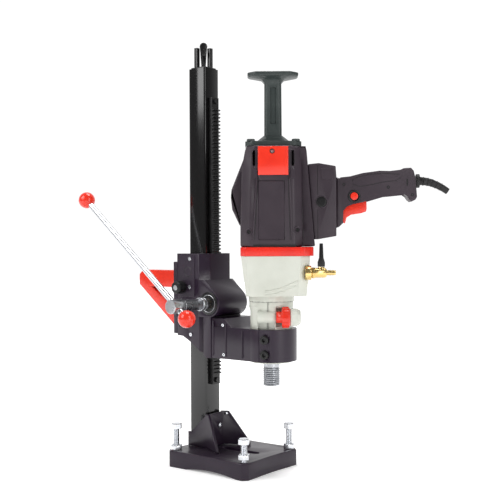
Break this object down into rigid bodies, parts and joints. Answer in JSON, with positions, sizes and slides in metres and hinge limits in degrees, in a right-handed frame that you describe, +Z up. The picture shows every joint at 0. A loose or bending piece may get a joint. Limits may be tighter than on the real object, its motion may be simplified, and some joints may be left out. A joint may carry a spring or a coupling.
{
  "type": "core drill rig",
  "caption": "Core drill motor with pistol grip clamped in a rack-fed carriage on a square column with a cast base, T-bar feed handle, levelling screws and water valve.",
  "frame": {"origin": "on the floor, in the middle of the column, at the underside of the base plate", "axes": "+Z up along the column, +X from the column towards the drill, -Y the side of the feed handle"},
  "size_m": [0.6277, 0.3578, 0.8155],
  "materials": {
    "cast_paint": "satin dark purple-grey paint on castings",
    "tube_paint": "gloss black paint",
    "black_steel": "blackened steel",
    "zinc": "bright zinc plate",
    "steel": "machined bright steel",
    "chrome": "polished chrome",
    "red_plastic": "glossy red",
    "red_paint": "satin red paint",
    "black_plastic": "satin black",
    "housing_plastic": "fine-textured dark purple-grey",
    "grey_plastic": "satin green-grey",
    "pale_paint": "pale greenish-white paint on cast aluminium",
    "brass": "turned brass",
    "bronze": "sintered bronze",
    "nylon": "natural nylon",
    "core_iron": "laminated iron",
    "rubber": "smooth black rubber"
  },
  "bodies": {
    "stand": {"base_plate": "cast_paint", "foot_bracket": "cast_paint", "column_tube": "tube_paint", "column_cap": "black_steel", "cap_lug": "black_steel", "rack_bar": "black_steel", "rack_screw_upper": "black_steel", "rack_screw_lower": "black_steel", "levelling_nut_1": "zinc", "levelling_nut_2": "zinc", "levelling_nut_3": "zinc", "levelling_nut_4": "zinc", "foot_bolt": "zinc"},
    "carriage": {"carriage_body": "cast_paint", "carriage_back_plate": "cast_paint", "slide_pad_front": "nylon", "slide_pad_rear": "nylon", "bush_front": "bronze", "bush_rear": "bronze", "carry_handle": "red_plastic", "clamp_arm": "cast_paint", "clamp_cap": "cast_paint", "clamp_screw_1": "black_steel", "clamp_screw_2": "black_steel", "clamp_screw_3": "black_steel", "clamp_screw_4": "black_steel", "spindle_bearing": "steel", "nose_collar": "pale_paint", "gear_case": "pale_paint", "mid_plate": "red_paint", "armature_bearing": "steel", "stator": "core_iron", "motor_housing": "housing_plastic", "front_panel": "red_plastic", "top_handle": "grey_plastic", "valve_body": "brass", "hose_nozzle": "brass", "switch_box": "housing_plastic", "grip_half_near": "housing_plastic", "grip_half_far": "housing_plastic", "cord_sleeve": "rubber"},
    "levelling_1": {"levelling_screw_1": "zinc"},
    "levelling_2": {"levelling_screw_2": "zinc"},
    "levelling_3": {"levelling_screw_3": "zinc"},
    "levelling_4": {"levelling_screw_4": "zinc"},
    "feed": {"feed_shaft": "steel", "feed_pinion": "steel"},
    "tbar": {"tbar_rod": "chrome", "tbar_ball_upper": "red_plastic", "tbar_ball_lower": "red_plastic"},
    "knob": {"lock_knob": "black_plastic"},
    "armature": {"armature": "core_iron"},
    "spindle": {"spindle": "steel", "spindle_gear": "steel"},
    "layshaft": {"layshaft": "steel"},
    "selector": {"selector_knob": "red_plastic", "selector_cap": "pale_paint"},
    "valve": {"valve_lever": "black_plastic"},
    "trigger": {"trigger": "red_plastic"},
    "button": {"lock_button": "red_plastic"}
  },
  "joints": [
    {"name": "carriage_travel", "type": "slide", "parent": "stand", "child": "carriage", "axis": [0, 0, 1], "range_m": [-0.105, 0.34]},
    {"name": "feed_turn", "type": "hinge", "parent": "carriage", "child": "feed", "pos_m": [0.05009, 0, 0.311], "axis": [0, 1, 0], "range_deg": [-1085, 336]},
    {"name": "tbar_slide", "type": "slide", "parent": "feed", "child": "tbar", "axis": [0.766, 0, -0.6428], "range_m": [-0.003, 0.276]},
    {"name": "knob_turn", "type": "hinge", "parent": "carriage", "child": "knob", "pos_m": [-0.018, -0.05, 0.34], "axis": [0, 1, 0], "range_deg": [-180, 180]},
    {"name": "levelling_travel_1", "type": "slide", "parent": "stand", "child": "levelling_1", "axis": [0, 0, 1], "range_m": [-0.003, 0.01]},
    {"name": "levelling_travel_2", "type": "slide", "parent": "stand", "child": "levelling_2", "axis": [0, 0, 1], "range_m": [-0.003, 0.01]},
    {"name": "levelling_travel_3", "type": "slide", "parent": "stand", "child": "levelling_3", "axis": [0, 0, 1], "range_m": [-0.003, 0.01]},
    {"name": "levelling_travel_4", "type": "slide", "parent": "stand", "child": "levelling_4", "axis": [0, 0, 1], "range_m": [-0.003, 0.01]},
    {"name": "armature_turn", "type": "hinge", "parent": "carriage", "child": "armature", "pos_m": [0.163, 0, 0.47], "axis": [0, 0, 1], "continuous": true},
    {"name": "layshaft_turn", "type": "hinge", "parent": "carriage", "child": "layshaft", "pos_m": [0.14638, 0.02128, 0.365], "axis": [0, 0, 1], "continuous": true},
    {"name": "spindle_turn", "type": "hinge", "parent": "carriage", "child": "spindle", "pos_m": [0.163, 0, 0.25], "axis": [0, 0, 1], "continuous": true},
    {"name": "selector_turn", "type": "hinge", "parent": "carriage", "child": "selector", "pos_m": [0.20523, -0.02157, 0.291], "axis": [0.788, 0.6157, 0], "range_deg": [0, 180]},
    {"name": "valve_turn", "type": "hinge", "parent": "carriage", "child": "valve", "pos_m": [0.25938, 0.02201, 0.371], "axis": [0, 0, 1], "range_deg": [0, 90]},
    {"name": "trigger_travel", "type": "slide", "parent": "carriage", "child": "trigger", "axis": [0, 0, 1], "range_m": [0, 0.005], "stiffness_N_per_m": 600, "springref_m": -0.001},
    {"name": "button_travel", "type": "slide", "parent": "carriage", "child": "button", "axis": [-0.6157, 0.788, 0], "range_m": [0, 0.003], "stiffness_N_per_m": 300, "springref_m": -0.001}
  ],
  "couplings": [
    {"joint": "feed_turn", "follows": "carriage_travel", "rad_per_m": -55.556},
    {"joint": "layshaft_turn", "follows": "armature_turn", "ratio": -0.5},
    {"joint": "spindle_turn", "follows": "armature_turn", "ratio": 0.25}
  ]
}
